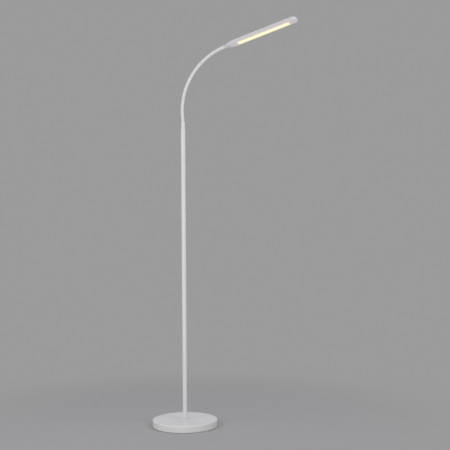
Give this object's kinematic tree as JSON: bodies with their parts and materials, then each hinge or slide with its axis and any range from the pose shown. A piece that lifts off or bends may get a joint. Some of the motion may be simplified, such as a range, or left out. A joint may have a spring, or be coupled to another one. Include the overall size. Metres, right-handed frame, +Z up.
{
  "type": "gooseneck floor lamp",
  "caption": "Slim white reading floor lamp: round weighted base, straight pole, bendable gooseneck and a flat bar head with a lit diffuser underneath.",
  "frame": {"origin": "on the floor, on the axis of the pole", "axes": "+Z up along the pole, +X the way the head reaches, +Y the far side, where the power socket is"},
  "size_m": [0.5564, 0.2412, 1.4847],
  "materials": {
    "white_paint": "satin white powder coat on steel",
    "neck_skin": "satin white skin over wound steel",
    "head_paint": "satin white powder coat on aluminium",
    "cover_plastic": "moulded white, fine grain",
    "diffuser": "opal, lit from behind",
    "cast_iron": "as cast, black primer",
    "zinc_steel": "zinc plated",
    "brass": "bare",
    "pad_rubber": "matt foam rubber",
    "lead_sheath": "soft white sheath",
    "socket_plastic": "black moulding",
    "key_plastic": "polished light grey",
    "bare_aluminium": "rolled sheet",
    "circuit_board": "white solder resist",
    "control_board": "green solder resist",
    "led_chip": "phosphor over a white body"
  },
  "bodies": {
    "stand": {"base_cover": "white_paint", "base_weight": "cast_iron", "base_plate": "zinc_steel", "plate_screws": "zinc_steel", "base_pad": "pad_rubber", "power_socket": "socket_plastic", "power_socket_nut": "zinc_steel", "stem_rod": "zinc_steel", "stem_washer": "zinc_steel", "stem_nut": "zinc_steel", "foot_collar": "white_paint", "pole_lower": "white_paint", "pole_middle": "white_paint", "pole_upper": "white_paint", "pole_foot_insert": "zinc_steel", "pole_joiners": "zinc_steel", "pole_top_insert": "zinc_steel", "pole_lead": "lead_sheath", "neck_ferrule_lower": "white_paint"},
    "link_01": {"gooseneck_link_01": "neck_skin"},
    "link_02": {"gooseneck_link_02": "neck_skin"},
    "link_03": {"gooseneck_link_03": "neck_skin"},
    "link_04": {"gooseneck_link_04": "neck_skin"},
    "link_05": {"gooseneck_link_05": "neck_skin"},
    "link_06": {"gooseneck_link_06": "neck_skin"},
    "link_07": {"gooseneck_link_07": "neck_skin"},
    "link_08": {"gooseneck_link_08": "neck_skin"},
    "link_09": {"gooseneck_link_09": "neck_skin"},
    "link_10": {"gooseneck_link_10": "neck_skin"},
    "link_11": {"gooseneck_link_11": "neck_skin"},
    "link_12": {"gooseneck_link_12": "neck_skin"},
    "link_13": {"gooseneck_link_13": "neck_skin"},
    "link_14": {"gooseneck_link_14": "neck_skin"},
    "link_15": {"gooseneck_link_15": "neck_skin"},
    "head": {"neck_ferrule_upper": "white_paint", "neck_nut": "zinc_steel", "head_housing": "head_paint", "head_bottom_cover": "cover_plastic", "head_screws": "zinc_steel", "diffuser": "diffuser", "heat_spreader": "bare_aluminium", "led_board": "circuit_board", "led_chips": "led_chip", "touch_key": "key_plastic", "touch_contact": "brass", "control_board": "control_board"}
  },
  "joints": [
    {"name": "neck_bend_01", "type": "hinge", "parent": "stand", "child": "link_01", "pos_m": [0, 0, 1.1275], "axis": [0, 1, 0], "range_deg": [-7.5, 7.5]},
    {"name": "neck_bend_02", "type": "hinge", "parent": "link_01", "child": "link_02", "pos_m": [-0.00187, 0, 1.14892], "axis": [0, 1, 0], "range_deg": [-7.5, 7.5]},
    {"name": "neck_sway_03", "type": "hinge", "parent": "link_02", "child": "link_03", "pos_m": [-0.00264, 0, 1.1704], "axis": [1, 0, -0.0091], "range_deg": [-12, 12]},
    {"name": "neck_bend_04", "type": "hinge", "parent": "link_03", "child": "link_04", "pos_m": [-0.00148, 0, 1.19186], "axis": [0, 1, 0], "range_deg": [-7.5, 7.5]},
    {"name": "neck_bend_05", "type": "hinge", "parent": "link_04", "child": "link_05", "pos_m": [0.00161, 0, 1.21313], "axis": [0, 1, 0], "range_deg": [-7.5, 7.5]},
    {"name": "neck_bend_06", "type": "hinge", "parent": "link_05", "child": "link_06", "pos_m": [0.0066, 0, 1.23403], "axis": [0, 1, 0], "range_deg": [-7.5, 7.5]},
    {"name": "neck_sway_07", "type": "hinge", "parent": "link_06", "child": "link_07", "pos_m": [0.01346, 0, 1.2544], "axis": [0.9325, 0, -0.3612], "range_deg": [-12, 12]},
    {"name": "neck_bend_08", "type": "hinge", "parent": "link_07", "child": "link_08", "pos_m": [0.02211, 0, 1.27408], "axis": [0, 1, 0], "range_deg": [-7.5, 7.5]},
    {"name": "neck_bend_09", "type": "hinge", "parent": "link_08", "child": "link_09", "pos_m": [0.03251, 0, 1.29289], "axis": [0, 1, 0], "range_deg": [-7, 10.5]},
    {"name": "neck_bend_10", "type": "hinge", "parent": "link_09", "child": "link_10", "pos_m": [0.04455, 0, 1.31069], "axis": [0, 1, 0], "range_deg": [-7, 10.5]},
    {"name": "neck_sway_11", "type": "hinge", "parent": "link_10", "child": "link_11", "pos_m": [0.05815, 0, 1.32734], "axis": [0.7452, 0, -0.6668], "range_deg": [-14, 14]},
    {"name": "neck_bend_12", "type": "hinge", "parent": "link_11", "child": "link_12", "pos_m": [0.07319, 0, 1.34269], "axis": [0, 1, 0], "range_deg": [-7, 10.5]},
    {"name": "neck_bend_13", "type": "hinge", "parent": "link_12", "child": "link_13", "pos_m": [0.08955, 0, 1.35663], "axis": [0, 1, 0], "range_deg": [-7, 10.5]},
    {"name": "neck_bend_14", "type": "hinge", "parent": "link_13", "child": "link_14", "pos_m": [0.10709, 0, 1.36904], "axis": [0, 1, 0], "range_deg": [-7, 10.5]},
    {"name": "neck_sway_15", "type": "hinge", "parent": "link_14", "child": "link_15", "pos_m": [0.12569, 0, 1.37982], "axis": [0.4621, 0, -0.8868], "range_deg": [-14, 14]},
    {"name": "neck_bend_16", "type": "hinge", "parent": "link_15", "child": "head", "pos_m": [0.14518, 0, 1.38888], "axis": [0, 1, 0], "range_deg": [-7, 10.5]}
  ]
}
